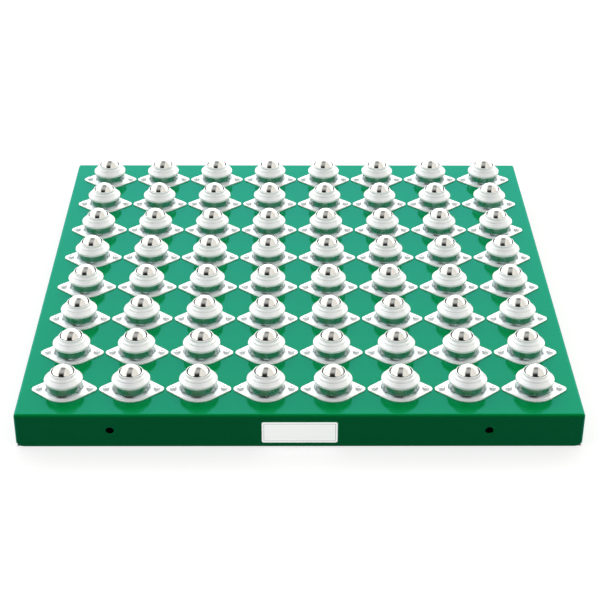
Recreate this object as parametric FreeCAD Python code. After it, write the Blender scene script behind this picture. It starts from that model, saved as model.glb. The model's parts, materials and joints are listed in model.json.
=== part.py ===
import FreeCAD, Part
import math
import os

from FreeCAD import Vector

# Ball transfer table: a folded steel tray whose deck carries a grid of ball transfer units.
# Millimetres, +Z up. The origin is on the floor under the middle of the table, and the front faces -Y.

# Tray
TABLE_WIDTH = 600.0
TABLE_DEPTH = 600.0
TRAY_HEIGHT = 40.0
SHEET = 2.3
BEND_RADIUS = 3.0
LOWER_CORNER_RADIUS = 5.5

# Grid of units
COLUMNS = 8
ROWS = 8
SIDE_MARGIN = 48.0
FRONT_MARGIN = 48.0

# Bolt holes in the front and rear walls
WALL_HOLE_DIAMETER = 9.0
WALL_HOLE_SPACING = 400.0
WALL_HOLE_HEIGHT = 20.0

# Name plate on the front wall
PLATE_WIDTH = 80.0
PLATE_HEIGHT = 26.0
PLATE_THICKNESS = 0.3
PLATE_CORNER = 2.0
PLATE_CENTRE_HEIGHT = 18.0

# Stiffening channels under the deck
STIFFENER_WIDTH = 26.0
STIFFENER_FLANGE = 12.0
STIFFENER_DEPTH = 15.0
STIFFENER_SHEET = 1.6
STIFFENER_BEND = 2.4
STIFFENER_END_GAP = 4.0
STIFFENER_ROW_GAPS = {"front": 2, "middle": 4, "rear": 6}

# Balls of one unit
BALL_DIAMETER = 25.4
SUPPORT_BALL_DIAMETER = 3.969
BALL_GAP = 0.25
CUP_SEAT_GAP = 0.1
SUPPORT_BALL_GAP = 0.331

# Race cup
CUP_WALL = 0.8
CUP_LIFT = 0.381
CUP_FLANGE = 0.4
CUP_CLEARANCE = 0.3

# Base pressing: a diamond flange with a drawn wall and an out-turned rim
PRESSING = 1.4
RIM_DROP = 3.8
RIM_WIDTH = 0.95
RIM_INNER_BEND = 0.4
ROOT_RADIUS = 4.0
WALL_TAPER = 0.7
FLANGE_LENGTH = 69.5
FLANGE_LAND = 6.0
FLANGE_TIP_RADIUS = 5.5

# Cap pressing: lip, collar, stepped shoulder and a seam rolled round the base's rim
CAP_SHEET = 1.0
SEAM_GAP = 0.1
SEAM_BEND = 1.1
CAP_CLEARANCE = 0.15
COLLAR_GAP = 0.1
COLLAR_LEAN = 0.3
LIP_GAP = 0.6
LIP_RISE = 5.6
LIP_BEND = 0.9
SHOULDER_RISE = 3.0
SHOULDER_WIDTH = 2.4
SHOULDER_FALL = 1.7
STEP_DROP = 1.1
STEP_WIDTH = 0.2
SHOULDER_BEND = 0.9
CREASE_BEND = 0.5

# Screws, spring washers and nuts
SCREW_DIAMETER = 4.0
SCREW_SPACING = 55.0
SCREW_LENGTH = 10.0
THREAD_GAP = 0.05
SCREW_HOLE_CLEARANCE = 0.5
HEAD_DIAMETER = 7.6
HEAD_HEIGHT = 2.4
HEAD_ROUND = 1.3
RECESS_WIDTH = 0.9
RECESS_LENGTH = 3.8
RECESS_DEPTH = 1.5
POINT_CHAMFER = 0.5
WASHER_DIAMETER = 7.3
WASHER_THICKNESS = 1.0
WASHER_SPLIT = 0.8
NUT_ACROSS_FLATS = 7.0
NUT_THICKNESS = 3.2
NUT_CHAMFER_ANGLE = 30.0

# Places that follow from the sizes above
AXIS = Vector(0, 0, 1)
DECK_TOP = TRAY_HEIGHT
DECK_UNDER = TRAY_HEIGHT - SHEET
COLUMN_PITCH = (TABLE_WIDTH - 2 * SIDE_MARGIN) / (COLUMNS - 1)
ROW_PITCH = (TABLE_DEPTH - 2 * FRONT_MARGIN) / (ROWS - 1)
BALL_RADIUS = BALL_DIAMETER / 2
SUPPORT_RADIUS = SUPPORT_BALL_DIAMETER / 2
CUP_INNER = BALL_RADIUS + BALL_GAP + SUPPORT_BALL_DIAMETER + CUP_SEAT_GAP
CUP_OUTER = CUP_INNER + CUP_WALL
BALL_Z = CUP_LIFT + CUP_OUTER
RIM_TOP = BALL_Z - RIM_DROP
RIM_UNDER = RIM_TOP - PRESSING
RIM_BEND = RIM_INNER_BEND + PRESSING
BASE_INNER = math.sqrt(CUP_OUTER**2 - (RIM_DROP + RIM_BEND) ** 2) + CUP_CLEARANCE
BASE_OUTER = BASE_INNER + PRESSING
RIM_OUTER = BASE_OUTER + RIM_WIDTH
FLANGE_RADIUS = BASE_OUTER + FLANGE_LAND
SCREW_HOLE_RADIUS = (SCREW_DIAMETER + SCREW_HOLE_CLEARANCE) / 2


def column_x(column):
    return (column - (COLUMNS - 1) / 2) * COLUMN_PITCH


def row_y(row):
    return (row - (ROWS - 1) / 2) * ROW_PITCH


def unit_place(column, row):
    """The point on the deck under the middle of one unit."""
    return Vector(column_x(column), row_y(row), DECK_TOP)


def screw_places():
    """The points on the deck where the units are screwed down."""
    for row in range(ROWS):
        for column in range(COLUMNS):
            for side in (-1, 1):
                yield unit_place(column, row) + Vector(side * SCREW_SPACING / 2, 0, 0)


def rounded_path(corners):
    """Edges through (x, z, radius) corners in the XZ plane, with each inner corner rounded by its radius."""
    points = [Vector(x, 0, z) for x, z, _ in corners]
    edges = []
    last = points[0]
    for before, corner, after, (_, _, radius) in zip(points, points[1:], points[2:], corners[1:]):
        towards = (before - corner).normalize()
        away = (after - corner).normalize()
        half_angle = towards.getAngle(away) / 2
        bisector = (towards + away).normalize()
        centre = corner + bisector * (radius / math.sin(half_angle))
        start = corner + towards * (radius / math.tan(half_angle))
        end = corner + away * (radius / math.tan(half_angle))
        edges.append(Part.makeLine(last, start))
        edges.append(Part.Arc(start, centre - bisector * radius, end).toShape())
        last = end
    edges.append(Part.makeLine(last, points[-1]))
    return Part.Wire(edges)


def sheet_section(corners, thickness):
    """The section of a bent sheet: a rounded path along one face, thickened to the side the sign gives."""
    return rounded_path(corners).makeOffset2D(thickness, join=0, fill=True, openResult=True)


def closed_face(edges):
    return Part.Face(Part.Wire(edges))


def lines(points):
    return [Part.makeLine(a, b) for a, b in zip(points, points[1:])]


def spun(face):
    return face.revolve(Vector(0, 0, 0), AXIS, 360)


def cylinder(radius, height, base):
    return Part.makeCylinder(radius, height, base)


def rounded_box(width, depth, height, radius):
    """A box on the floor round the Z axis, with its upright and top edges rounded."""
    box = Part.makeBox(width, depth, height, Vector(-width / 2, -depth / 2, 0))
    kept = [e for e in box.Edges if e.CenterOfMass.z > 0]
    return box.makeFillet(radius, kept)


def lower_corner_cutters():
    """What is cut away to round the lower end of each upright corner, seen along the wall's diagonal."""
    radius = LOWER_CORNER_RADIUS
    half_length = 2 * radius
    start = BEND_RADIUS - radius
    for x_side in (-1, 1):
        for y_side in (-1, 1):
            bend_centre = Vector(
                x_side * (TABLE_WIDTH / 2 - BEND_RADIUS), y_side * (TABLE_DEPTH / 2 - BEND_RADIUS), 0
            )
            block = Part.makeBox(radius, 2 * half_length, radius, Vector(start, -half_length, 0))
            round_start = Vector(start, -half_length, radius)
            block = block.cut(Part.makeCylinder(radius, 2 * half_length, round_start, Vector(0, 1, 0)))
            block.rotate(Vector(0, 0, 0), AXIS, math.degrees(math.atan2(y_side, x_side)))
            block.translate(bend_centre)
            yield block


def tray():
    """The folded tray, with rounded lower corners, screw holes in the deck and bolt holes in two walls."""
    inner_radius = BEND_RADIUS - SHEET
    body = rounded_box(TABLE_WIDTH, TABLE_DEPTH, TRAY_HEIGHT, BEND_RADIUS)
    body = body.cut(rounded_box(TABLE_WIDTH - 2 * SHEET, TABLE_DEPTH - 2 * SHEET, DECK_UNDER, inner_radius))
    for cutter in lower_corner_cutters():
        body = body.cut(cutter)
    holes = [cylinder(SCREW_HOLE_RADIUS, SHEET, place - AXIS * SHEET) for place in screw_places()]
    for side in (-1, 1):
        start = Vector(side * WALL_HOLE_SPACING / 2, -TABLE_DEPTH / 2, WALL_HOLE_HEIGHT)
        holes.append(Part.makeCylinder(WALL_HOLE_DIAMETER / 2, TABLE_DEPTH, start, Vector(0, 1, 0)))
    return body.cut(Part.makeCompound(holes))


def stiffener(row_gap):
    """A hat-shaped channel across the deck's underside, in the gap after that many rows."""
    half = STIFFENER_WIDTH / 2
    reach = half + STIFFENER_FLANGE
    low = DECK_UNDER - STIFFENER_DEPTH
    section = sheet_section(
        [
            (-reach, DECK_UNDER, 0),
            (-half, DECK_UNDER, STIFFENER_BEND),
            (-half, low, STIFFENER_BEND - STIFFENER_SHEET),
            (half, low, STIFFENER_BEND - STIFFENER_SHEET),
            (half, DECK_UNDER, STIFFENER_BEND),
            (reach, DECK_UNDER, 0),
        ],
        -STIFFENER_SHEET,
    )
    length = TABLE_WIDTH - 2 * (SHEET + STIFFENER_END_GAP)
    bar = section.extrude(Vector(0, length, 0))
    bar.translate(Vector(0, -length / 2, 0))
    bar.rotate(Vector(0, 0, 0), AXIS, 90)
    bar.translate(Vector(0, (row_y(row_gap - 1) + row_y(row_gap)) / 2, 0))
    return bar


def name_plate():
    """A thin blank plate with rounded corners, stuck to the middle of the front wall."""
    back = -TABLE_DEPTH / 2
    box = Part.makeBox(
        PLATE_WIDTH,
        PLATE_THICKNESS,
        PLATE_HEIGHT,
        Vector(-PLATE_WIDTH / 2, back - PLATE_THICKNESS, PLATE_CENTRE_HEIGHT - PLATE_HEIGHT / 2),
    )
    corners = [e for e in box.Edges if abs(e.tangentAt(e.FirstParameter).y) > 0.5]
    return box.makeFillet(PLATE_CORNER, corners)


def diamond_outline():
    """The flange seen from above: a middle circle and two tip circles joined by their outer tangents."""
    tip_x = FLANGE_LENGTH / 2 - FLANGE_TIP_RADIUS
    lean = math.asin((FLANGE_RADIUS - FLANGE_TIP_RADIUS) / tip_x)
    normal = Vector(math.sin(lean), math.cos(lean), 0)

    def mirrored(point, x, y):
        return Vector(point.x * x, point.y * y, 0)

    middle = normal * FLANGE_RADIUS
    tip = Vector(tip_x, 0, 0) + normal * FLANGE_TIP_RADIUS
    nose = Vector(FLANGE_LENGTH / 2, 0, 0)
    crown = Vector(0, FLANGE_RADIUS, 0)
    edges = [
        Part.Arc(mirrored(middle, -1, 1), crown, middle).toShape(),
        Part.makeLine(middle, tip),
        Part.Arc(tip, nose, mirrored(tip, 1, -1)).toShape(),
        Part.makeLine(mirrored(tip, 1, -1), mirrored(middle, 1, -1)),
        Part.Arc(mirrored(middle, 1, -1), -crown, mirrored(middle, -1, -1)).toShape(),
        Part.makeLine(mirrored(middle, -1, -1), mirrored(tip, -1, -1)),
        Part.Arc(mirrored(tip, -1, -1), -nose, mirrored(tip, -1, 1)).toShape(),
        Part.makeLine(mirrored(tip, -1, 1), mirrored(middle, -1, 1)),
    ]
    return closed_face(edges)


def base_flange():
    """The pressed base: a diamond flange, a wall drawn up with a slight taper, and a rim turned outwards."""
    foot = BASE_OUTER + WALL_TAPER
    join = (foot + ROOT_RADIUS + FLANGE_RADIUS) / 2
    wall = spun(sheet_section(
        [
            (join, PRESSING, 0),
            (foot, PRESSING, ROOT_RADIUS),
            (BASE_OUTER, RIM_UNDER, RIM_INNER_BEND),
            (RIM_OUTER, RIM_UNDER, 0),
        ],
        PRESSING,
    ))
    plate = diamond_outline().extrude(AXIS * PRESSING).cut(cylinder(join, PRESSING, Vector(0, 0, 0)))
    base = plate.fuse(wall).removeSplitter()
    holes = [
        cylinder(SCREW_HOLE_RADIUS, PRESSING, Vector(side * SCREW_SPACING / 2, 0, 0)) for side in (-1, 1)
    ]
    return base.cut(Part.makeCompound(holes))


def bowl_radius(radius, drop):
    """The radius of a bowl round the ball's centre, that far below the centre."""
    return math.sqrt(radius**2 - drop**2)


CUP_FLANGE_RADIUS = bowl_radius(CUP_OUTER, RIM_DROP) + CUP_FLANGE


def race_cup():
    """The hardened bowl that the support balls run in, hung by its flange on the base's rim."""
    top = RIM_TOP + CUP_WALL
    inner_edge = Vector(bowl_radius(CUP_INNER, BALL_Z - top), 0, top)
    outer_edge = Vector(bowl_radius(CUP_OUTER, RIM_DROP), 0, RIM_TOP)
    slant = math.radians(45)

    def bowl_point(radius, angle):
        return Vector(radius * math.sin(angle), 0, BALL_Z - radius * math.cos(angle))

    inner = Part.Arc(bowl_point(CUP_INNER, 0), bowl_point(CUP_INNER, slant), inner_edge).toShape()
    outer = Part.Arc(outer_edge, bowl_point(CUP_OUTER, slant), bowl_point(CUP_OUTER, 0)).toShape()
    flange = lines([
        inner_edge,
        Vector(CUP_FLANGE_RADIUS, 0, top),
        Vector(CUP_FLANGE_RADIUS, 0, RIM_TOP),
        outer_edge,
    ])
    bottom = Part.makeLine(bowl_point(CUP_OUTER, 0), bowl_point(CUP_INNER, 0))
    return spun(closed_face([inner, *flange, outer, bottom]))


def cap_slope(step):
    """How steeply the cap falls from its step for its inner face to just clear the base's rim."""
    reach = RIM_OUTER - step.x
    drop = step.z - RIM_TOP - CAP_CLEARANCE
    angle = math.asin(CAP_SHEET / math.hypot(reach, drop))
    return math.tan(math.atan2(drop, reach) - angle)


def cap():
    """The pressed cap: a lip round the ball, a short collar, a shoulder with a step, a slope that clears the
    base's rim, and a seam rolled under the rim."""
    lip_top = BALL_Z + LIP_RISE
    lip_inner = bowl_radius(BALL_RADIUS + LIP_GAP, LIP_RISE - CAP_SHEET)
    collar = BALL_RADIUS + COLLAR_GAP + CAP_SHEET
    shoulder_z = BALL_Z + SHOULDER_RISE
    edge = Vector(collar + SHOULDER_WIDTH, 0, shoulder_z - SHOULDER_FALL)
    step = edge + Vector(STEP_WIDTH, 0, -STEP_DROP)
    seam = RIM_OUTER + SEAM_GAP + CAP_SHEET
    slope = cap_slope(step)
    under = RIM_UNDER - CAP_SHEET
    return spun(sheet_section(
        [
            (lip_inner, lip_top, 0),
            (collar - COLLAR_LEAN, lip_top, LIP_BEND),
            (collar, shoulder_z, CREASE_BEND),
            (edge.x, edge.z, SHOULDER_BEND),
            (step.x, step.z, CREASE_BEND),
            (seam, step.z - slope * (seam - step.x), SEAM_BEND),
            (seam, under, SEAM_BEND),
            (BASE_OUTER + RIM_INNER_BEND + SEAM_GAP, under, 0),
        ],
        -CAP_SHEET,
    ))


def main_ball():
    ball = Part.makeSphere(BALL_RADIUS)
    ball.translate(AXIS * BALL_Z)
    return ball


def support_ball_places():
    """Ring by ring, from the bottom of the bowl to just below its edge, the centres of the small balls."""
    reach = BALL_RADIUS + BALL_GAP + SUPPORT_RADIUS
    half_spacing = (SUPPORT_BALL_DIAMETER + SUPPORT_BALL_GAP) / 2
    step = 2 * math.asin(half_spacing / reach)
    highest = math.acos((RIM_DROP - CUP_WALL + SUPPORT_RADIUS) / reach)
    yield Vector(0, 0, BALL_Z - reach)
    for ring in range(1, 1 + int(highest / step)):
        radius = reach * math.sin(ring * step)
        z = BALL_Z - reach * math.cos(ring * step)
        count = int(math.pi / math.asin(half_spacing / radius))
        for place in range(count):
            turn = 2 * math.pi * (place + ring / 2) / count
            yield Vector(radius * math.cos(turn), radius * math.sin(turn), z)


def support_balls():
    balls = []
    for place in support_ball_places():
        ball = Part.makeSphere(SUPPORT_RADIUS)
        ball.translate(place)
        balls.append(ball)
    return balls


def screw():
    """A pan-head screw standing on the flange, with a cross recess and a plain shank."""
    seat = PRESSING
    top = seat + HEAD_HEIGHT
    point = seat - SCREW_LENGTH
    head = HEAD_DIAMETER / 2
    shank = SCREW_DIAMETER / 2 - THREAD_GAP
    outline = rounded_path([(0, top, 0), (head, top, HEAD_ROUND), (head, seat, 0)]).Edges + lines([
        Vector(head, 0, seat),
        Vector(shank, 0, seat),
        Vector(shank, 0, point + POINT_CHAMFER),
        Vector(shank - POINT_CHAMFER, 0, point),
        Vector(0, 0, point),
        Vector(0, 0, top),
    ])
    slot_corner = Vector(-RECESS_LENGTH / 2, -RECESS_WIDTH / 2, top - RECESS_DEPTH)
    slot = Part.makeBox(RECESS_LENGTH, RECESS_WIDTH, RECESS_DEPTH, slot_corner)
    crossing = slot.copy()
    crossing.rotate(Vector(0, 0, 0), AXIS, 90)
    return spun(closed_face(outline)).cut(slot.fuse(crossing))


def spring_washer():
    """A split washer, pressed flat between the deck and the nut."""
    base = Vector(0, 0, -SHEET - WASHER_THICKNESS)
    ring = cylinder(WASHER_DIAMETER / 2, WASHER_THICKNESS, base)
    ring = ring.cut(cylinder(SCREW_HOLE_RADIUS, WASHER_THICKNESS, base))
    split_corner = base - Vector(0, WASHER_SPLIT / 2, 0)
    split = Part.makeBox(WASHER_DIAMETER, WASHER_SPLIT, WASHER_THICKNESS, split_corner)
    return ring.cut(split)


def nut():
    """A hexagon nut under the washer, with its outer corners chamfered."""
    top = -SHEET - WASHER_THICKNESS
    base = top - NUT_THICKNESS
    corner = NUT_ACROSS_FLATS / math.sqrt(3)
    turns = [math.radians(60 * k) for k in range(7)]
    hexagon = closed_face(lines([Vector(corner * math.cos(t), corner * math.sin(t), base) for t in turns]))
    body = hexagon.extrude(AXIS * NUT_THICKNESS)
    flat = NUT_ACROSS_FLATS / 2
    drop = (corner - flat) * math.tan(math.radians(NUT_CHAMFER_ANGLE))
    barrel = spun(closed_face(lines([
        Vector(0, 0, base),
        Vector(flat, 0, base),
        Vector(corner, 0, base + drop),
        Vector(corner, 0, top - drop),
        Vector(flat, 0, top),
        Vector(0, 0, top),
        Vector(0, 0, base),
    ])))
    return body.common(barrel).cut(cylinder(SCREW_DIAMETER / 2, NUT_THICKNESS, Vector(0, 0, base)))


def copies(shapes, places):
    """Every shape at every place, as separate solids."""
    return [shape.translated(place) for place in places for shape in shapes]


def row_places(row):
    return [unit_place(column, row) for column in range(COLUMNS)]


def rolls_by_row(column, row):
    """On every other square of the grid the balls roll front to back, and on the rest from side to side."""
    return (column + row) % 2 == 0


def nodes():
    """Each node's name and its solids."""
    yield "tray", [tray()]
    for name, row_gap in STIFFENER_ROW_GAPS.items():
        yield f"stiffener_{name}", [stiffener(row_gap)]
    yield "name_plate", [name_plate()]
    unit_pieces = {
        "base_flanges": [base_flange()],
        "race_cups": [race_cup()],
        "support_balls": support_balls(),
        "caps": [cap()],
    }
    for row in range(ROWS):
        for name, shapes in unit_pieces.items():
            yield f"{name}_row_{row + 1}", copies(shapes, row_places(row))
    ball = main_ball()
    for row in range(ROWS):
        places = [unit_place(c, row) for c in range(COLUMNS) if rolls_by_row(c, row)]
        yield f"main_balls_row_{row + 1}", copies([ball], places)
    for column in range(COLUMNS):
        places = [unit_place(column, r) for r in range(ROWS) if not rolls_by_row(column, r)]
        yield f"main_balls_column_{column + 1}", copies([ball], places)
    places = list(screw_places())
    yield "mounting_screws", copies([screw()], places)
    yield "spring_washers", copies([spring_washer()], places)
    yield "nuts", copies([nut()], places)


def main():
    os.makedirs("parts", exist_ok=True)
    for name, solids in nodes():
        for solid in solids:
            if not solid.isValid() or solid.Volume <= 0:
                raise ValueError(f"{name} holds a solid that is not sound")
        Part.makeCompound(solids).exportStep(f"parts/{name}.step")
        print(name, len(solids), round(sum(s.Volume for s in solids), 1))


main()
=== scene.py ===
import json
import math

import bmesh
import bpy
import numpy as np
from mathutils import Matrix, Vector

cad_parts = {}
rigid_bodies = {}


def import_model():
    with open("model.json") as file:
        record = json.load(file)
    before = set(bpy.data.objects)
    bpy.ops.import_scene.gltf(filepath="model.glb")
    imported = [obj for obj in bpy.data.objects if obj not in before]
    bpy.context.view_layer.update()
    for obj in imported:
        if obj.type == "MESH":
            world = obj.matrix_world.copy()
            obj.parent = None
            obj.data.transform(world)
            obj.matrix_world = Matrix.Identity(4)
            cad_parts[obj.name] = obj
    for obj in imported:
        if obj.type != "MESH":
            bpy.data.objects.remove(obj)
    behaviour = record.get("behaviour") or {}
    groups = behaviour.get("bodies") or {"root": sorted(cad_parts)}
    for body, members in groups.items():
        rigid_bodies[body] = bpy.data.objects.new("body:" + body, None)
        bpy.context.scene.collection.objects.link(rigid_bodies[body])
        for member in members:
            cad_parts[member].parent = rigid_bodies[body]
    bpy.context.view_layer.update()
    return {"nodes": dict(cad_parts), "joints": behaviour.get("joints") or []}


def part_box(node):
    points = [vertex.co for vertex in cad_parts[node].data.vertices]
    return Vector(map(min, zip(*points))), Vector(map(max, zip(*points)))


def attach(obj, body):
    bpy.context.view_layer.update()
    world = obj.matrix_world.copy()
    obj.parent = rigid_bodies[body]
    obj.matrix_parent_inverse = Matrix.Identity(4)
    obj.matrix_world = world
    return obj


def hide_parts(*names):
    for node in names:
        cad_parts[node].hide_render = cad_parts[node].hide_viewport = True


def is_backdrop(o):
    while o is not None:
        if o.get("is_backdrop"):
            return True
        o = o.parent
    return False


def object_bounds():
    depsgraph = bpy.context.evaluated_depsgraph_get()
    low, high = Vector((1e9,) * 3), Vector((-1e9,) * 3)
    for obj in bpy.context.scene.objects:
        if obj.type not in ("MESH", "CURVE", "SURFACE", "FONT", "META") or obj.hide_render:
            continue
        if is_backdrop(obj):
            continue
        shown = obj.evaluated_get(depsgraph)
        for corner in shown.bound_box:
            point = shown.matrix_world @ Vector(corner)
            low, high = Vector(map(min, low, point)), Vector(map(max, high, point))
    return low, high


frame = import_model()

# Tray: one sheet of mild steel folded down on four sides, its corners welded and ground round.
# Each corner is rounded off at the floor, and the front and rear walls have two bolt holes each.
# The whole tray is sprayed with green gloss enamel. Sizes in this file are in millimetres.
MM = 0.001
SHEET = 2.3
BEND = 3.0
BEND_STEPS = 8
CORNER_TURNS = 9
CORNER_STOPS = np.arange(1.0, 11.0)
FLOOR_CORNER = 5.5
CUT_EDGE = 0.4
BOLT_HOLE = 9.0
BOLT_SIDES = 48
BOLT_SPACING = 400.0
BOLT_HEIGHT = 20.0
CREASE = 40.0
POLE_MERGE = 0.001
ORANGE_PEEL = 2.6
SPRAY_CLOUD = 90.0
MOTTLE = (0.3, 0.7)
ENAMEL_ROUGHNESS = (0.07, 0.12)
GREEN = "#008C42"
GREEN_THIN = "#029147"
GLOSS_TINT = "#6DE1FF"
GLOSS_SHARE = 0.27

deck_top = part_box("tray")[1].z / MM
tray_half = np.array(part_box("tray")[1])[:2] / MM
tray_core = tray_half - BEND


def quarter_turn(vector):
    """Turns plane vectors a quarter circle to the left: (x, y) becomes (-y, x)."""
    return np.stack([-vector[..., 1], vector[..., 0]], axis=-1)


def rounded(corners, closed=True, steps=5, hold=0.2):
    """An outline through (across, up, radius) corners, each replaced by a tangent arc.
    An arc's points are its centre plus an arm that turns evenly by the angle between the two sides.
    One more point a little way along each side keeps what is flat between two arcs flat. An open
    outline starts and ends in its first and last corner."""
    corners = np.array(corners, float)
    spot, radius = corners[:, :2], corners[:, 2]
    side = np.roll(spot, -1, axis=0) - spot
    length = np.linalg.norm(side, axis=1)
    leave = side / length[:, None]
    arrive = np.roll(leave, 1, axis=0)
    turn = np.arctan2((quarter_turn(arrive) * leave).sum(1), (arrive * leave).sum(1))
    reach = radius * np.tan(np.abs(turn) / 2)
    after = np.clip((length - reach - np.roll(reach, -1)) / 3, 0, hold)
    before = np.roll(after, 1)
    start = spot - arrive * reach[:, None]
    arm = quarter_turn(arrive) * (-np.sign(turn) * radius)[:, None]
    angle = (turn[:, None] * np.linspace(0, 1, steps + 1))[..., None]
    swung = np.cos(angle) * arm[:, None] + np.sin(angle) * quarter_turn(arm)[:, None]
    arc = (start - arm)[:, None] + swung
    first = start - arrive * before[:, None]
    last = arc[:, -1] + leave * after[:, None]
    groups = np.concatenate([first[:, None], arc, last[:, None]], axis=1)
    if closed:
        return groups.reshape(-1, 2)
    return np.concatenate([spot[:1], groups[1:-1].reshape(-1, 2), spot[-1:]])


def rectangle_walk(half, stops, turns):
    """A walk round a rectangle, anticlockwise, as points and outward directions.
    Each corner is held while the outward direction turns a quarter circle in equal steps, and the
    walk also stops at the given distances before and after each corner."""
    stops = np.array(stops, float)
    quarter = np.linspace(0, np.pi / 2, turns + 1)
    angle = np.concatenate([0 * stops, quarter, 0 * stops + np.pi / 2])
    back = np.concatenate([stops[::-1], 0 * quarter, 0 * stops])[:, None]
    on = np.concatenate([0 * stops, 0 * quarter, stops])[:, None]
    start = np.arange(4)[:, None] * np.pi / 2
    facing = np.stack([np.cos(start), np.sin(start)], axis=-1)
    corner = half * np.rint(facing + quarter_turn(facing))
    point = corner - back * quarter_turn(facing) - on * facing
    outward = np.stack([np.cos(start + angle), np.sin(start + angle)], axis=-1)
    return point.reshape(-1, 2), outward.reshape(-1, 2)


def framed(section, half, walk):
    """A section carried round a rectangle: its second number runs up, and its first outwards.
    Past zero a point leaves the walk along the outward direction. Below zero the rectangle itself
    shrinks by that much on every side."""
    point, outward = walk
    run = section[:, None, :1]
    plan = point * (1 + np.minimum(run, 0) / half) + outward * np.maximum(run, 0)
    up = np.broadcast_to(section[:, None, 1:], plan.shape[:2] + (1,))
    return np.concatenate([plan, up], axis=-1)


def new_piece(name, points, closed=True, crease=CREASE):
    """A mesh piece from points in millimetres, as an array (copies, u, v, xyz).
    A face joins each four neighbours of a grid. The last column always joins the first, and the
    last row too if the grid is closed. Points that meet at a pole are merged, and edges sharper
    than the crease angle stay crisp."""
    number = np.arange(points[..., 0].size).reshape(points.shape[:-1])
    number = np.concatenate([number, number[:, :, :1]], axis=2)
    if closed:
        number = np.concatenate([number, number[:, :1]], axis=1)
    near, far = number[:, :-1], number[:, 1:]
    faces = np.stack([near[..., :-1], near[..., 1:], far[..., 1:], far[..., :-1]], axis=-1)
    mesh = bpy.data.meshes.new(name)
    mesh.vertices.add(points[..., 0].size)
    mesh.vertices.foreach_set("co", (points * MM).astype(np.float32).ravel())
    mesh.loops.add(faces.size)
    mesh.loops.foreach_set("vertex_index", faces.astype(np.int32).ravel())
    mesh.polygons.add(faces.size // 4)
    mesh.polygons.foreach_set("loop_start", np.arange(0, faces.size, 4, dtype=np.int32))
    mesh.update(calc_edges=True)
    if not closed:
        welded = bmesh.new()
        welded.from_mesh(mesh)
        bmesh.ops.remove_doubles(welded, verts=welded.verts, dist=POLE_MERGE * MM)
        welded.to_mesh(mesh)
        welded.free()
    mesh.shade_smooth()
    mesh.set_sharp_from_angle(angle=math.radians(crease))
    piece = bpy.data.objects.new(name, mesh)
    bpy.context.scene.collection.objects.link(piece)
    return piece


def linear(colour):
    """An sRGB hex colour as linear light with alpha 1, by the sRGB curve."""
    share = np.array([int(colour[k:k + 2], 16) for k in (1, 3, 5)]) / 255
    light = np.where(share <= 0.04045, share / 12.92, ((share + 0.055) / 1.055) ** 2.4)
    return (*light.tolist(), 1.0)


def add_node(tree, kind, sockets=None, **settings):
    """Adds one shader node.
    Settings are its properties. Sockets, by name or number, take a value or a link."""
    node = tree.nodes.new("ShaderNode" + kind)
    for name, value in settings.items():
        setattr(node, name, value)
    for name, value in (sockets or {}).items():
        if isinstance(value, bpy.types.NodeSocket):
            tree.links.new(value, node.inputs[name])
        else:
            node.inputs[name].default_value = value
    return node


def maths(tree, operation, *values):
    """One sum, product or other arithmetic of shader values."""
    return add_node(tree, "Math", dict(enumerate(values)), operation=operation).outputs[0]


def mixed(tree, share, first, second, kind="RGBA"):
    """A mix of two shader colours, or of two numbers where the kind is FLOAT."""
    at, out = {"RGBA": (6, 2), "FLOAT": (2, 0)}[kind]
    return add_node(tree, "Mix", {0: share, at: first, at + 1: second}, data_type=kind).outputs[out]


def mapped(tree, value, span, levels, curve="LINEAR"):
    """A shader value carried from a span of values to a span of levels, and held past either end."""
    sockets = {0: value, 1: span[0], 2: span[1], 3: levels[0], 4: levels[1]}
    return add_node(tree, "MapRange", sockets, interpolation_type=curve).outputs[0]


def mottle(tree, spot, grain, detail):
    """A noise whose lumps are about the grain wide, mostly between the two values of MOTTLE."""
    sockets = {"Vector": spot, "Scale": 1 / (grain * MM), "Detail": detail}
    return add_node(tree, "TexNoise", sockets).outputs[0]


def bumped(tree, height, strength, depth):
    """The surface's direction, bumped by a shader value to the given depth."""
    sockets = {"Height": height, "Strength": strength, "Distance": depth * MM}
    return add_node(tree, "Bump", sockets).outputs[0]


def new_material(name):
    """A material, its empty node tree, and in it the place on the object as a shader value."""
    material = bpy.data.materials.new(name)
    material.use_nodes = True
    tree = material.node_tree
    tree.nodes.clear()
    return material, tree, add_node(tree, "TexCoord").outputs["Object"]


# Sprayed gloss enamel: a deep even green under a hard sea-blue gloss, which is weak from straight ahead
# and grows towards a flat look along the deck, where it mirrors what stands there. A faint orange peel
# breaks it, and the colour is clouded a little where the coats overlap.
enamel, tree, spot = new_material("sprayed_gloss_enamel")
cloud = mottle(tree, spot, SPRAY_CLOUD, detail=3.0)
green = mixed(tree, cloud, linear(GREEN), linear(GREEN_THIN))
smooth = mapped(tree, cloud, MOTTLE, ENAMEL_ROUGHNESS)
skin = bumped(tree, mottle(tree, spot, ORANGE_PEEL, detail=1.0), strength=0.05, depth=0.3)
flatness = add_node(tree, "LayerWeight", {"Blend": 0.5, "Normal": skin}).outputs["Facing"]
share = maths(tree, "MULTIPLY", maths(tree, "POWER", flatness, 2.0), GLOSS_SHARE)
body = add_node(tree, "BsdfPrincipled", {
    "Base Color": green, "Roughness": smooth, "Normal": skin, "Specular IOR Level": 0.0,
})
gloss = add_node(tree, "BsdfAnisotropic", {
    "Color": linear(GLOSS_TINT), "Roughness": smooth, "Normal": skin,
})
paint = add_node(tree, "MixShader", {0: share, 1: body.outputs[0], 2: gloss.outputs[0]})
add_node(tree, "OutputMaterial", {"Surface": paint.outputs[0]})

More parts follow.
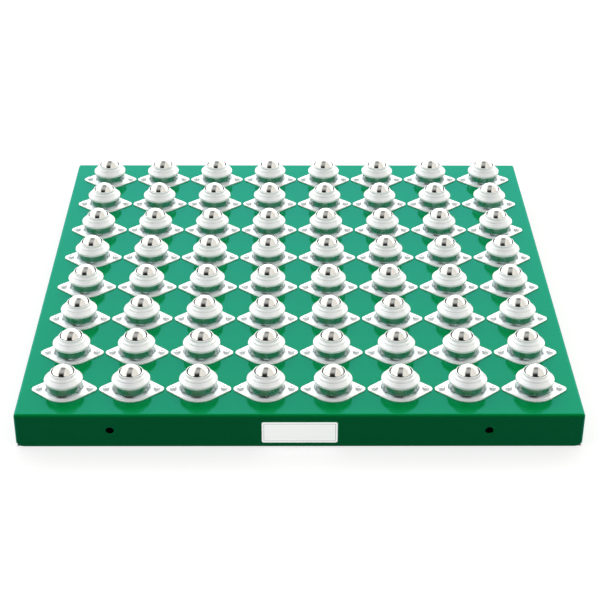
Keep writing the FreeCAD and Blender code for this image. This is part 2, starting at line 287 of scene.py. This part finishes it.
tray_section = rounded(
    [
        (-tray_core[0], deck_top - SHEET, 0),
        (BEND - SHEET, deck_top - SHEET, BEND - SHEET),
        (BEND - SHEET, 0, CUT_EDGE),
        (BEND, 0, CUT_EDGE),
        (BEND, deck_top, BEND),
        (-tray_core[0], deck_top, 0),
    ],
    closed=False,
    steps=BEND_STEPS,
)
tray_grid = framed(tray_section, tray_core, rectangle_walk(tray_core, CORNER_STOPS, CORNER_TURNS))
past_core = (np.abs(tray_grid[..., :2]).sum(-1) - tray_core.sum()) / math.sqrt(2)
past_round = np.clip(past_core - BEND + FLOOR_CORNER, 0, FLOOR_CORNER)
floor_round = FLOOR_CORNER - np.sqrt(FLOOR_CORNER**2 - past_round**2)
tray_grid[..., 2] += np.where(tray_grid[..., 2] < 2 * CUT_EDGE, floor_round, 0)
tray = new_piece("enamelled_tray", tray_grid[None], closed=False)

# Each drill is a rod, closed at both ends, that runs right through the front and rear walls.
around = np.linspace(0, 2 * np.pi, BOLT_SIDES, endpoint=False)
drill_run = np.array([(0, -2), (1, -2), (1, 2), (0, 2)])
drill_radius = drill_run[:, None, 0] * BOLT_HOLE / 2
drill = np.stack(
    [
        drill_radius * np.cos(around),
        np.broadcast_to(-drill_run[:, None, 1] * tray_half[1], (len(drill_run), BOLT_SIDES)),
        drill_radius * np.sin(around) + BOLT_HEIGHT,
    ],
    axis=-1,
)
drill_places = np.array([(-BOLT_SPACING / 2, 0, 0), (BOLT_SPACING / 2, 0, 0)])
drills = new_piece("drills", drill + drill_places[:, None, None], closed=False)
bore = tray.modifiers.new("bolt_holes", "BOOLEAN")
bore.object = drills
bored_tray = tray.evaluated_get(bpy.context.evaluated_depsgraph_get())
tray.data = bpy.data.meshes.new_from_object(bored_tray)
tray.modifiers.clear()
bpy.data.objects.remove(drills)
tray.data.set_sharp_from_angle(angle=math.radians(CREASE))
tray.data.materials.clear()
tray.data.materials.append(enamel)
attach(tray, "table")
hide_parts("tray")

# Stiffeners: three hat-shaped channels of 1.6 mm sheet, folded and spot-welded across the deck's underside.
# They are sprayed together with the tray.
HAT_WIDTH = 26.0
HAT_FLANGE = 12.0
HAT_SHEET = 1.6
HAT_BEND = 2.4
SHEARED_EDGE = 0.2
LEAST_RADIUS = 0.05


def sheet_corners(path, thickness, edge):
    """Both faces of a bent sheet as one closed run of corners.
    The second face lies one thickness to the left of the path, with each corner where its shifted
    sides meet and each radius about the same centre, down to the least radius. The four corners
    at the sheet's ends are rounded by edge."""
    path = np.array(path, float)
    heading = np.diff(path[:, :2], axis=0)
    heading /= np.linalg.norm(heading, axis=1, keepdims=True)
    left = quarter_turn(heading)
    left_in, left_out = np.concatenate([left[:1], left]), np.concatenate([left, left[-1:]])
    shift = (left_in + left_out) / (1 + (left_in * left_out).sum(1, keepdims=True))
    turn = np.sign((quarter_turn(left_in) * -left_out).sum(1))
    other_radius = np.maximum(path[:, 2] - turn * thickness, LEAST_RADIUS)
    other = np.column_stack([path[:, :2] + shift * thickness, other_radius])
    path[[0, -1], 2] = other[[0, -1], 2] = edge
    return np.concatenate([path, other[::-1]])


for place in ("front", "middle", "rear"):
    low, high = (np.array(corner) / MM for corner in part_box(f"stiffener_{place}"))
    reach = HAT_WIDTH / 2 + HAT_FLANGE
    hat = rounded(sheet_corners(
        [
            (reach, high[2], 0),
            (HAT_WIDTH / 2, high[2], HAT_BEND),
            (HAT_WIDTH / 2, low[2] + HAT_SHEET, HAT_BEND - HAT_SHEET),
            (-HAT_WIDTH / 2, low[2] + HAT_SHEET, HAT_BEND - HAT_SHEET),
            (-HAT_WIDTH / 2, high[2], HAT_BEND),
            (-reach, high[2], 0),
        ],
        HAT_SHEET,
        SHEARED_EDGE,
    ))
    middle_line = (hat + hat[::-1]) / 2
    along = np.array([low[0], low[0], high[0], high[0]])[:, None, None]
    section = np.stack([middle_line, hat, hat, middle_line])
    section[..., 0] += (low[1] + high[1]) / 2
    bar = np.concatenate([np.broadcast_to(along, section.shape[:2] + (1,)), section], axis=-1)
    stiffener = new_piece(f"folded_stiffener_{place}", bar[None], closed=False)
    stiffener.data.materials.append(enamel)
    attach(stiffener, "table")
    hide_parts(f"stiffener_{place}")

# Name plate: a thin film label with round corners, stuck to the middle of the front wall.
# It is printed plain white with one fine grey line inside its edge, and it is otherwise blank.
PLATE_CORNER = 2.0
PLATE_TURNS = 6
PLATE_EDGE = 0.12
PLATE_CREASE = 30.0
LINE_WIDTH = 0.4
FILM_RIPPLE = 6.0
FILM_ROUGHNESS = (0.34, 0.46)
PLATE_WHITE = "#EEF2F0"
LINE_GREY = "#84908C"


def mottled_material(name, colour, metallic, grain, detail, span, roughness):
    """A material of one colour, whose roughness wanders with a noise between the span's two values."""
    material, tree, spot = new_material(name)
    surface = add_node(tree, "BsdfPrincipled", {
        "Base Color": linear(colour),
        "Metallic": metallic,
        "Roughness": mapped(tree, mottle(tree, spot, grain, detail), span, roughness),
    })
    add_node(tree, "OutputMaterial", {"Surface": surface.outputs[0]})
    return material


# Printed polyester film: a smooth cool white with a low sheen, slightly uneven where it is stuck down.
film, tree, spot = new_material("printed_polyester_film")
ripple = mottle(tree, spot, FILM_RIPPLE, detail=2.0)
surface = add_node(tree, "BsdfPrincipled", {
    "Base Color": linear(PLATE_WHITE),
    "Roughness": mapped(tree, ripple, MOTTLE, FILM_ROUGHNESS),
    "Normal": bumped(tree, ripple, strength=0.08, depth=0.2),
})
add_node(tree, "OutputMaterial", {"Surface": surface.outputs[0]})

# Screen-printing ink: a flat matt grey line.
ink = mottled_material(
    "grey_printing_ink", LINE_GREY, metallic=0.0,
    grain=0.5, detail=2.0, span=(0.0, 1.0), roughness=(0.5, 0.7),
)

low, high = (np.array(corner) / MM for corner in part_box("name_plate"))
plate_middle = (low + high)[2] / 2
plate_half = (high - low)[[0, 2]] / 2
plate_core = plate_half - PLATE_CORNER
plate_thickness = high[1] - low[1]
plate_section = np.array([
    (-plate_core[1], 0),
    (PLATE_CORNER, 0),
    (PLATE_CORNER, plate_thickness - PLATE_EDGE),
    (PLATE_CORNER - PLATE_EDGE, plate_thickness),
    (0, plate_thickness),
    (-LINE_WIDTH, plate_thickness),
    (-plate_core[1], plate_thickness),
])
lying = framed(plate_section, plate_core, rectangle_walk(plate_core, [], PLATE_TURNS))
upright = np.stack([lying[..., 0], high[1] - lying[..., 2], lying[..., 1] + plate_middle], axis=-1)
plate = new_piece("blank_name_plate", upright[None], closed=False, crease=PLATE_CREASE)
plate.data.materials.append(film)
plate.data.materials.append(ink)
face_middles = np.zeros(3 * len(plate.data.polygons), np.float32)
plate.data.polygons.foreach_get("center", face_middles)
inset = plate_core - np.abs(face_middles.reshape(-1, 3)[:, [0, 2]] / MM - (0, plate_middle))
in_line = (inset.min(1) > 0) & (inset.min(1) < LINE_WIDTH)
plate.data.polygons.foreach_set("material_index", in_line.astype(np.int32))
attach(plate, "table")
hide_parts("name_plate")

# Bases: one pressing of 1.4 mm steel under each ball, a diamond flange with a drawn wall and an
# out-turned rim. Zinc plated after pressing, and held to the deck by two screws through the tips.
PRESSING = 1.4
FLANGE_LENGTH = 69.5
FLANGE_TIP = 5.5
FLANGE_MIDDLE = 24.616
TIP_STEPS = 5
SIDE_STEPS = 7
MIDDLE_STEPS = 7
BASE_WALL = 18.616
WALL_TAPER = 0.7
BASE_ROOT = 4.0
RIM_UNDER = 13.0
RIM_RADIUS = 19.566
RIM_BEND = 0.4
BLANKED_EDGE = 0.35
BASE_STEPS = 4
ZINC_COOL = "#ECF1F4"
ZINC_WARM = "#F2F2EE"
ZINC_DRAWN = "#AEB9BA"
ZINC_CLOUD = 9.0
ZINC_GRAIN = 0.7
SEAM_UNDER = 12.0
ROOT_FADE = (0.2, 1.3)
SEAM_FADE = (-0.3, 0.0)
SATIN_TO_DRAWN_METAL = (0.35, 1.0)
SATIN_TO_DRAWN_ROUGHNESS = (0.32, 0.25)
CLOUD_ROUGHNESS = (0.0, 0.06)

row_y = [j["pos_m"][1] / MM for j in frame["joints"] if j["name"].startswith("row_")]
column_x = [j["pos_m"][0] / MM for j in frame["joints"] if j["name"].startswith("column_")]
unit_row = np.array([(x, 0, deck_top) for x in column_x])


def eased(tree, value, span, levels):
    """A shader value carried from a span of values to a span of levels by a smooth step."""
    return mapped(tree, value, span, levels, "SMOOTHSTEP")


# Bright zinc plate with a clear passivation: a satin white, faintly blue with warmer clouds. The wall
# that the press has drawn up between flange and seam is a darker, wholly metallic grey.
zinc, tree, spot = new_material("bright_zinc_plate")
cloud = mottle(tree, spot, ZINC_CLOUD, detail=3.0)
tone = mixed(tree, cloud, linear(ZINC_COOL), linear(ZINC_WARM))
height = add_node(tree, "SeparateXYZ", {0: spot}).outputs[2]
root_span = (deck_top + PRESSING + np.array(ROOT_FADE)) * MM
seam_span = (deck_top + SEAM_UNDER + np.array(SEAM_FADE)) * MM
above_root = eased(tree, height, root_span, (0.0, 1.0))
below_seam = eased(tree, height, seam_span, (1.0, 0.0))
drawn = maths(tree, "MULTIPLY", above_root, below_seam)
dull = mapped(tree, drawn, (0.0, 1.0), SATIN_TO_DRAWN_ROUGHNESS)
clouded = mapped(tree, cloud, MOTTLE, CLOUD_ROUGHNESS)
plated = add_node(tree, "BsdfPrincipled", {
    "Base Color": mixed(tree, drawn, tone, linear(ZINC_DRAWN)),
    "Metallic": mapped(tree, drawn, (0.0, 1.0), SATIN_TO_DRAWN_METAL),
    "Roughness": maths(tree, "ADD", dull, clouded),
    "Normal": bumped(tree, mottle(tree, spot, ZINC_GRAIN, detail=2.0), strength=0.02, depth=0.1),
})
add_node(tree, "OutputMaterial", {"Surface": plated.outputs[0]})

tip_x = FLANGE_LENGTH / 2 - FLANGE_TIP
side_normal = math.acos((FLANGE_MIDDLE - FLANGE_TIP) / tip_x)
tip_end = math.atan2(FLANGE_TIP * math.sin(side_normal), tip_x + FLANGE_TIP * math.cos(side_normal))
quarter_angles = np.concatenate([
    np.linspace(0, tip_end, TIP_STEPS + 1)[:-1],
    np.linspace(tip_end, side_normal, SIDE_STEPS + 1)[:-1],
    np.linspace(side_normal, np.pi / 2, MIDDLE_STEPS + 1)[:-1],
])
flange_angles = np.sort(np.concatenate([
    quarter_angles,
    np.pi - quarter_angles[:0:-1],
    [np.pi / 2],
    np.pi + quarter_angles,
    2 * np.pi - quarter_angles[:0:-1],
    [3 * np.pi / 2],
]))


def diamond(angle):
    """The flange's outline as a distance from its middle at each angle.
    Near the long axis it is the tip's circle, then the straight tangent, then the middle circle."""
    acute = np.arcsin(np.abs(np.sin(angle)))
    straight = FLANGE_MIDDLE / np.cos(np.minimum(acute - side_normal, 0))
    tip_rise = np.minimum(tip_x * np.sin(acute), FLANGE_TIP)
    tip = tip_x * np.cos(acute) + np.sqrt(FLANGE_TIP**2 - tip_rise**2)
    return np.where(acute < tip_end, tip, straight)


def turned(section, angles, stretch=0.0):
    """A section turned about the upright axis.
    Its first number, plus the stretch, is the radius at each angle."""
    radius = section[:, :1] + stretch
    up = np.broadcast_to(section[:, 1:], radius.shape[:1] + angles.shape)
    return np.stack([radius * np.cos(angles), radius * np.sin(angles), up], axis=-1)


base_section = rounded(sheet_corners(
    [
        (FLANGE_MIDDLE, PRESSING, 0),
        (BASE_WALL + WALL_TAPER, PRESSING, BASE_ROOT),
        (BASE_WALL, RIM_UNDER, RIM_BEND),
        (RIM_RADIUS, RIM_UNDER, 0),
    ],
    PRESSING,
    BLANKED_EDGE,
), steps=BASE_STEPS)
past_root = base_section[:, :1] > (BASE_WALL + WALL_TAPER + BASE_ROOT + FLANGE_MIDDLE) / 2
base = turned(base_section, flange_angles, past_root * (diamond(flange_angles) - FLANGE_MIDDLE))
for row, y in enumerate(row_y, 1):
    bases = new_piece(f"zinc_bases_row_{row}", base + (unit_row + (0, y, 0))[:, None, None])
    bases.data.materials.append(zinc)
    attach(bases, "table")
    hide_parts(f"base_flanges_row_{row}")

# Race cups: a hardened steel bowl hung inside each base by its flange, hidden under the cap.
# The bowls keep the frame's own shape and take a ground steel finish.
STEEL_GREY = "#9A9C9E"

# Hardened and ground steel: a dull grey mirror with fine turning marks.
ground_steel = mottled_material(
    "hardened_ground_steel", STEEL_GREY, metallic=1.0,
    grain=0.6, detail=2.0, span=MOTTLE, roughness=(0.18, 0.30),
)
for row in range(1, len(row_y) + 1):
    cups = frame["nodes"][f"race_cups_row_{row}"]
    cups.data.materials.clear()
    cups.data.materials.append(ground_steel)

# Support balls: 52 small bearing balls in each bowl, ring above ring, for the main ball to roll on.
# They are hardened steel and sealed in, so each is a coarse ball of a few dozen faces.
SUPPORT_DIAMETER = 3.969
SUPPORT_GAP = 0.331
SUPPORT_REACH = 14.9345
TOP_RING = 4.9845
ball_height = frame["joints"][0]["pos_m"][2] / MM


def ball_grid(radius, rings, sides):
    """A ball with its poles on the X axis.
    It is half a circle of the given rings, turned about X in equal sides."""
    down = np.linspace(0, np.pi, rings + 1)[:, None] + np.zeros(sides)
    turn = np.linspace(0, 2 * np.pi, sides + 1)[:-1] + np.zeros_like(down)
    out = np.sin(down)
    return -radius * np.stack([np.cos(down), out * np.cos(turn), out * np.sin(turn)], axis=-1)


half_spacing = (SUPPORT_DIAMETER + SUPPORT_GAP) / 2
ring_step = 2 * math.asin(half_spacing / SUPPORT_REACH)
ring_places = [np.array([(0, 0, -SUPPORT_REACH)])]
for ring in range(1, 1 + int(math.acos(TOP_RING / SUPPORT_REACH) / ring_step)):
    ring_radius = SUPPORT_REACH * math.sin(ring * ring_step)
    count = int(math.pi / math.asin(half_spacing / ring_radius))
    turns = 2 * np.pi * (np.arange(count) + ring / 2) / count
    drop = np.full(count, -SUPPORT_REACH * math.cos(ring * ring_step))
    ring_places.append(np.column_stack([ring_radius * np.cos(turns), ring_radius * np.sin(turns), drop]))
support_places = np.concatenate(ring_places) + (0, 0, ball_height - deck_top)
small_ball = ball_grid(SUPPORT_DIAMETER / 2, rings=5, sides=8)
for row, y in enumerate(row_y, 1):
    places = (support_places + (unit_row + (0, y, 0))[:, None]).reshape(-1, 1, 1, 3)
    balls = new_piece(f"support_bearing_balls_row_{row}", small_ball + places, closed=False)
    balls.data.materials.append(ground_steel)
    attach(balls, "table")
    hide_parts(f"support_balls_row_{row}")

# Main balls: one polished inch ball to each unit, held down by the cap's lip and free to roll.
# Every other square of the grid rolls front to back about its row, and the rest sideways about its column.
BALL_DIAMETER = 25.4
BALL_STEEL = "#F0EFEA"

# Lapped chrome steel: a clean dark-edged mirror, with only the finest hairlines from rolling.
lapped_steel = mottled_material(
    "lapped_chrome_steel", BALL_STEEL, metallic=1.0,
    grain=1.5, detail=4.0, span=(0.4, 0.75), roughness=(0.05, 0.11),
)

main_ball = ball_grid(BALL_DIAMETER / 2, rings=28, sides=56)
by_row = (np.add.outer(np.arange(len(row_y)), np.arange(len(column_x))) % 2) == 0
unit_x, unit_y = np.meshgrid(column_x, row_y)
ball_centres = np.stack([unit_x, unit_y, np.full(unit_x.shape, ball_height)], axis=-1)
ball_groups = {f"row_{k + 1}": ball_centres[k][by_row[k]] for k in range(len(row_y))}
ball_groups.update({f"column_{k + 1}": ball_centres[:, k][~by_row[:, k]] for k in range(len(column_x))})
for group, centres in ball_groups.items():
    balls = new_piece(f"polished_balls_{group}", main_ball + centres[:, None, None], closed=False)
    balls.data.materials.append(lapped_steel)
    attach(balls, f"balls_{group}")
    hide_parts(f"main_balls_{group}")

# Caps: one pressing of 1 mm steel over each ball, a lip and short collar round the ball above a stepped
# shoulder. Zinc plated, and rolled under the base's rim by a lathe, which leaves the bright round seam.
# Each place is a radius and a height over the deck.
CAP_SHEET = 1.0
CAP_EDGE = 0.25
CAP_SIDES = 56
CAP_STEPS = 3
SEAM_INNER = 19.116
SEAM_OUTER = 20.666
SEAM_TOP = 14.945
SEAM_BEND = 1.1
STEP_FOOT = (16.4, 18.4)
STEP_TOP = (16.2, 19.5)
COLLAR_FOOT = (13.8, 21.2)
COLLAR_TOP = (13.5, 23.8)
LIP_MOUTH = 12.48
SHOULDER_BEND = 0.9
CREASE_BEND = 0.5
GAP_SHADE_DARK = "#262828"

# Painted gap shade on the zinc: the inside of the cap and the cut edge of its lip are coloured dark to stand
# in for the shade in the gap round the ball. It draws the thin dark ring that is seen round each ball.
painted_gap_shade = mottled_material(
    "oil_darkened_zinc", GAP_SHADE_DARK, metallic=0.5,
    grain=2.0, detail=2.0, span=MOTTLE, roughness=(0.40, 0.55),
)

cap_section = rounded(sheet_corners(
    [
        (SEAM_INNER, SEAM_UNDER, 0),
        (SEAM_OUTER, SEAM_UNDER, SEAM_BEND),
        (SEAM_OUTER, SEAM_TOP, SEAM_BEND),
        (*STEP_FOOT, CREASE_BEND),
        (*STEP_TOP, SHOULDER_BEND),
        (*COLLAR_FOOT, CREASE_BEND),
        (*COLLAR_TOP, SHOULDER_BEND),
        (LIP_MOUTH, COLLAR_TOP[1], 0),
    ],
    CAP_SHEET,
    CAP_EDGE,
), steps=CAP_STEPS)
cap = turned(cap_section, np.linspace(0, 2 * np.pi, CAP_SIDES, endpoint=False))
# The inside is the second half of the outline, and the two rows of faces before it are the lip's edge. These
# faces take the dark painted gap shade.
in_painted_shade = np.arange(len(cap_section)) >= len(cap_section) // 2 - 2
painted_shade_faces = np.tile(np.repeat(in_painted_shade, CAP_SIDES), len(unit_row)).astype(np.int32)
for row, y in enumerate(row_y, 1):
    caps = new_piece(f"zinc_caps_row_{row}", cap + (unit_row + (0, y, 0))[:, None, None])
    caps.data.materials.append(zinc)
    caps.data.materials.append(painted_gap_shade)
    caps.data.polygons.foreach_set("material_index", painted_shade_faces)
    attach(caps, "table")
    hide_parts(f"caps_row_{row}")

# Screws: two cross-recessed pan-head M4 screws to each unit, through the flange and the deck.
# Zinc plated steel, each stopped at its own angle.
SCREW_SPACING = 55.0
SHANK_RADIUS = 1.95
SCREW_END = -8.6
POINT_CHAMFER = 0.5
HEAD_RADIUS = 3.8
HEAD_TOP = 3.8
HEAD_ROUND = 1.3
ROUND_NEAR = 0.13 * HEAD_ROUND
ROUND_FAR = 0.5 * HEAD_ROUND
RECESS_HALF_WIDTH = 0.45
RECESS_REACH = 1.9
RECESS_FLOOR = 2.3
RECESS_CONE = 0.2
RECESS_TAPER = 0.7
STOP_SEED = 4
SCREW_ZINC = "#EEF0F1"

# Zinc plated steel wire: a soft white mirror, duller than the pressings and a little scuffed by the driver.
screw_zinc = mottled_material(
    "zinc_plated_screw_steel", SCREW_ZINC, metallic=0.5,
    grain=0.9, detail=3.0, span=(0.35, 0.7), roughness=(0.32, 0.42),
)

arm_corner = math.atan2(RECESS_HALF_WIDTH, RECESS_REACH)
eighth = np.array([0, arm_corner, (arm_corner + np.pi / 4) / 2])
quarter = np.concatenate([eighth, [np.pi / 4], np.pi / 2 - eighth[:0:-1]])
screw_angles = (np.arange(4)[:, None] * np.pi / 2 + quarter).ravel()
from_arm = np.pi / 4 - np.abs(screw_angles % (np.pi / 2) - np.pi / 4)
cross = np.minimum(
    RECESS_REACH / np.cos(from_arm), RECESS_HALF_WIDTH / np.maximum(np.sin(from_arm), 1e-6)
)
# Each row of points is a circle's radius, a share of the cross, and a height over the deck.
screw_rows = [
    (0, 0, SCREW_END),
    (SHANK_RADIUS - POINT_CHAMFER, 0, SCREW_END),
    (SHANK_RADIUS, 0, SCREW_END + POINT_CHAMFER),
    (SHANK_RADIUS, 0, PRESSING),
    (HEAD_RADIUS, 0, PRESSING),
    (HEAD_RADIUS, 0, HEAD_TOP - HEAD_ROUND),
    (HEAD_RADIUS - ROUND_NEAR, 0, HEAD_TOP - ROUND_FAR),
    (HEAD_RADIUS - ROUND_FAR, 0, HEAD_TOP - ROUND_NEAR),
    (HEAD_RADIUS - HEAD_ROUND, 0, HEAD_TOP),
    (0, 1, HEAD_TOP),
    (0, RECESS_TAPER, RECESS_FLOOR + RECESS_CONE),
    (0, 0, RECESS_FLOOR),
]
circle_part, cross_part, rise = np.array(screw_rows, float).T[..., None]
screw_radius = circle_part + cross_part * cross
sides = np.array([-SCREW_SPACING / 2, SCREW_SPACING / 2])
screw_x = (np.array(column_x)[:, None] + sides).ravel()
place_x, place_y = (part.ravel() for part in np.meshgrid(screw_x, row_y))
stop_angle = np.random.default_rng(STOP_SEED).uniform(0, np.pi / 2, place_x.size)
bearing = screw_angles + stop_angle[:, None, None]
screws = new_piece(
    "pan_head_screws",
    np.stack(
        [
            screw_radius * np.cos(bearing) + place_x[:, None, None],
            screw_radius * np.sin(bearing) + place_y[:, None, None],
            np.broadcast_to(rise + deck_top, bearing.shape[:1] + screw_radius.shape),
        ],
        axis=-1,
    ),
    closed=False,
)
screws.data.materials.append(screw_zinc)
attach(screws, "table")
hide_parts("mounting_screws")

# Spring washers and nuts: under the deck, one of each on every screw, in the screws' own finish.
# They keep the frame's own shape.
for node in ("spring_washers", "nuts"):
    frame["nodes"][node].data.materials.clear()
    frame["nodes"][node].data.materials.append(screw_zinc)

# Studio: a white tent. Two bright side walls and a bright back leave a dark slot between them, which runs
# from the camera's side up over the table and ends above the back wall. Angles are in degrees, from the
# front up over the table and down to the back. Widths and shifts are across, as parts of a unit sphere.
LEFT_WALL = 1.15
RIGHT_WALL = 0.90
SIDE_CHANGE = (-0.5, 0.5)
BACK_WALL = 2.6
BACK_RISE = (120, 138)
SLOT_LEAN = (40, 125)
SLOT_SHIFT = (-0.16, 0.07)
SLOT_FOOT = (9, 27)
SLOT_FOOT_HALF = 0.98
SLOT_HALF = 0.42
SLOT_END_HALF = 0.28
SLOT_SOFT = 0.07
SLOT_TAPER = 60
SLOT_END = 118
SLOT_END_SOFT = 5
SLOT_BLACK = 0.02
SLOT_GREY = 0.50
SLOT_END_GREY = 0.28
SLOT_LIGHTENS = (38, 70)
SLOT_DARKENS = (86, 99)
WARM_CHANGE = (0.0, 0.6)
WARM_WHITE = (1.0, 0.97, 0.92, 1.0)
WHITE = (1.0, 1.0, 1.0, 1.0)

studio = bpy.data.worlds.new("tent")
bpy.context.scene.world = studio
studio.use_nodes = True
tree = studio.node_tree
tree.nodes.clear()
towards = add_node(tree, "SeparateXYZ", {0: add_node(tree, "TexCoord").outputs["Generated"]})
across, away, up = towards.outputs
over = maths(tree, "ARCTAN2", up, maths(tree, "MULTIPLY", away, -1.0))
slot_middle = eased(tree, over, np.radians(SLOT_LEAN), SLOT_SHIFT)
aside = maths(tree, "ABSOLUTE", maths(tree, "SUBTRACT", across, slot_middle))
slot_foot = eased(tree, over, np.radians(SLOT_FOOT), (SLOT_FOOT_HALF, SLOT_HALF))
slot_taper = eased(tree, over, np.radians((SLOT_TAPER, SLOT_END)), (0.0, SLOT_END_HALF - SLOT_HALF))
past_slot = maths(tree, "SUBTRACT", aside, maths(tree, "ADD", slot_foot, slot_taper))
beside = eased(tree, past_slot, (-SLOT_SOFT, SLOT_SOFT), (0.0, 1.0))
end_span = np.radians((SLOT_END - SLOT_END_SOFT, SLOT_END + SLOT_END_SOFT))
wall_share = maths(tree, "MAXIMUM", beside, eased(tree, over, end_span, (0.0, 1.0)))
slot_start = eased(tree, over, np.radians(SLOT_LIGHTENS), (SLOT_BLACK, SLOT_GREY))
slot_finish = eased(tree, over, np.radians(SLOT_DARKENS), (SLOT_GREY, SLOT_END_GREY))
slot_grey = maths(tree, "MINIMUM", slot_start, slot_finish)
side_wall = eased(tree, across, SIDE_CHANGE, (LEFT_WALL, RIGHT_WALL))
at_back = eased(tree, over, np.radians(BACK_RISE), (0.0, 1.0))
wall = mixed(tree, at_back, side_wall, BACK_WALL, "FLOAT")
light = mixed(tree, wall_share, slot_grey, wall, "FLOAT")
tint = mixed(tree, eased(tree, across, WARM_CHANGE, (0.0, 1.0)), WHITE, WARM_WHITE)
seen = add_node(tree, "LightPath").outputs["Is Camera Ray"]
tent = add_node(tree, "Background", {
    "Color": mixed(tree, seen, tint, WHITE), "Strength": mixed(tree, seen, light, 1.0, "FLOAT"),
})
add_node(tree, "OutputWorld", {"Surface": tent.outputs[0]})

# Floor: a sheet of white paper under the table, which glows a little so that it stays white in the picture.
# It ends just below the picture, because more white in front would show as a band in the bases' drawn walls.
FLOOR_REACH = 6000.0
FLOOR_FRONT = 640.0
FLOOR_GLOW = 0.70
FLOOR_GREY = (0.4, 0.4, 0.4, 1.0)
FLOOR_DARK = (0.04, 0.04, 0.04, 1.0)

# White paper: bright where it is looked at or mirrored, and nearly black as a source of light, so that the
# walls and the underside stay dark. Under the tray its glow is masked off by position, which paints the
# table's shadow on the paper there.
floor_white, tree, spot = new_material("white_floor_paper")
off_x, off_y, _ = add_node(tree, "SeparateXYZ", {0: spot}).outputs
off = maths(tree, "MAXIMUM", maths(tree, "ABSOLUTE", off_x), maths(tree, "ABSOLUTE", off_y))
painted_shadow_edge = (tray_half.min() - SHEET) * MM
# The glow stops inside the tray's footprint: a painted shadow of the table on the floor.
clear = eased(tree, off, (painted_shadow_edge, painted_shadow_edge + SHEET * MM), (0.0, 1.0))
ray = add_node(tree, "LightPath").outputs
mirrored = maths(tree, "MAXIMUM", ray["Is Glossy Ray"], ray["Is Transmission Ray"])
watched = maths(tree, "MAXIMUM", ray["Is Camera Ray"], mirrored)
pale = maths(tree, "MULTIPLY", watched, clear)
glow = add_node(tree, "Emission", {"Color": WHITE, "Strength": FLOOR_GLOW})
lit = add_node(tree, "BsdfDiffuse", {"Color": FLOOR_GREY})
white = add_node(tree, "AddShader", {0: glow.outputs[0], 1: lit.outputs[0]})
dull = add_node(tree, "BsdfDiffuse", {"Color": FLOOR_DARK})
paper = add_node(tree, "MixShader", {0: pale, 1: dull.outputs[0], 2: white.outputs[0]})
add_node(tree, "OutputMaterial", {"Surface": paper.outputs[0]})
floor_mesh = bpy.data.meshes.new("floor")
floor_mesh.from_pydata(
    [(x * FLOOR_REACH * MM, y * MM, 0)
     for x, y in ((-1, -FLOOR_FRONT), (1, -FLOOR_FRONT), (1, FLOOR_REACH), (-1, FLOOR_REACH))],
    [],
    [(0, 1, 2, 3)],
)
floor = bpy.data.objects.new("floor", floor_mesh)
bpy.context.scene.collection.objects.link(floor)
floor_mesh.materials.append(floor_white)
floor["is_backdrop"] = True

# Plate lamp: a square soft lamp low in front of the table, to the left.
# It reaches nothing but the label, which would be as dark as the front wall without it.
LAMP_SIDE = 500.0
LAMP_PLACE = (-200.0, -1200.0, 500.0)
LAMP_WATTS = 10.0


def soft_lamp(name, side, watts, place, aim, pieces):
    """A square area lamp, aimed at a point, whose light falls on the given pieces only."""
    light = bpy.data.lights.new(name, "AREA")
    light.size = side * MM
    light.energy = watts
    lamp = bpy.data.objects.new(name, light)
    lamp.location = Vector(place) * MM
    lamp.rotation_euler = (Vector(aim) * MM - lamp.location).to_track_quat("-Z", "Y").to_euler()
    bpy.context.scene.collection.objects.link(lamp)
    reach = bpy.data.collections.new(f"{name}_reach")
    for piece in pieces:
        reach.objects.link(piece)
    lamp.light_linking.receiver_collection = reach
    return lamp


soft_lamp("plate_lamp", LAMP_SIDE, LAMP_WATTS, LAMP_PLACE, (0, -tray_half[1], 0), [plate])

# Fill lamp: a wide soft lamp far in front and above, which lifts the fronts of the pressings and screws
# only. It lights what is matt in their plating and leaves no image of itself in what is bright.
FILL_SIDE = 1500.0
FILL_PLACE = (-300.0, -3000.0, 2100.0)
FILL_WATTS = 50.0
plated_pieces = [
    piece for piece in bpy.context.scene.collection.objects
    if piece.name.startswith(("zinc_", "pan_head_"))
]
fill_lamp = soft_lamp("fill_lamp", FILL_SIDE, FILL_WATTS, FILL_PLACE, (0, 0, 0), plated_pieces)
fill_lamp.visible_glossy = False

# Camera: a long lens in front of the table and above it, as the photograph was taken. It looks along +Y,
# turned by the yaw, tilted down by the pitch and then rolled about its own line of sight.
IMAGE_SIDE = 598
FOCAL_PIXELS = 1533.55
SENSOR = 36.0
CAMERA_PLACE = (-13.935, -1615.623, 966.521)
YAW = 0.009507
PITCH = 0.537864
ROLL = 0.004865
lens = bpy.data.cameras.new("camera")
lens.sensor_width = SENSOR
lens.lens = FOCAL_PIXELS * SENSOR / IMAGE_SIDE
camera = bpy.data.objects.new("camera", lens)
facing = Matrix.Rotation(-YAW, 4, "Z") @ Matrix.Rotation(math.pi / 2 - PITCH, 4, "X")
facing = facing @ Matrix.Rotation(ROLL, 4, "Z")
camera.matrix_world = Matrix.Translation(Vector(CAMERA_PLACE) * MM) @ facing
bpy.context.scene.collection.objects.link(camera)
bpy.context.scene.camera = camera
bpy.context.scene.view_settings.view_transform = "Standard"

low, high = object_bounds()
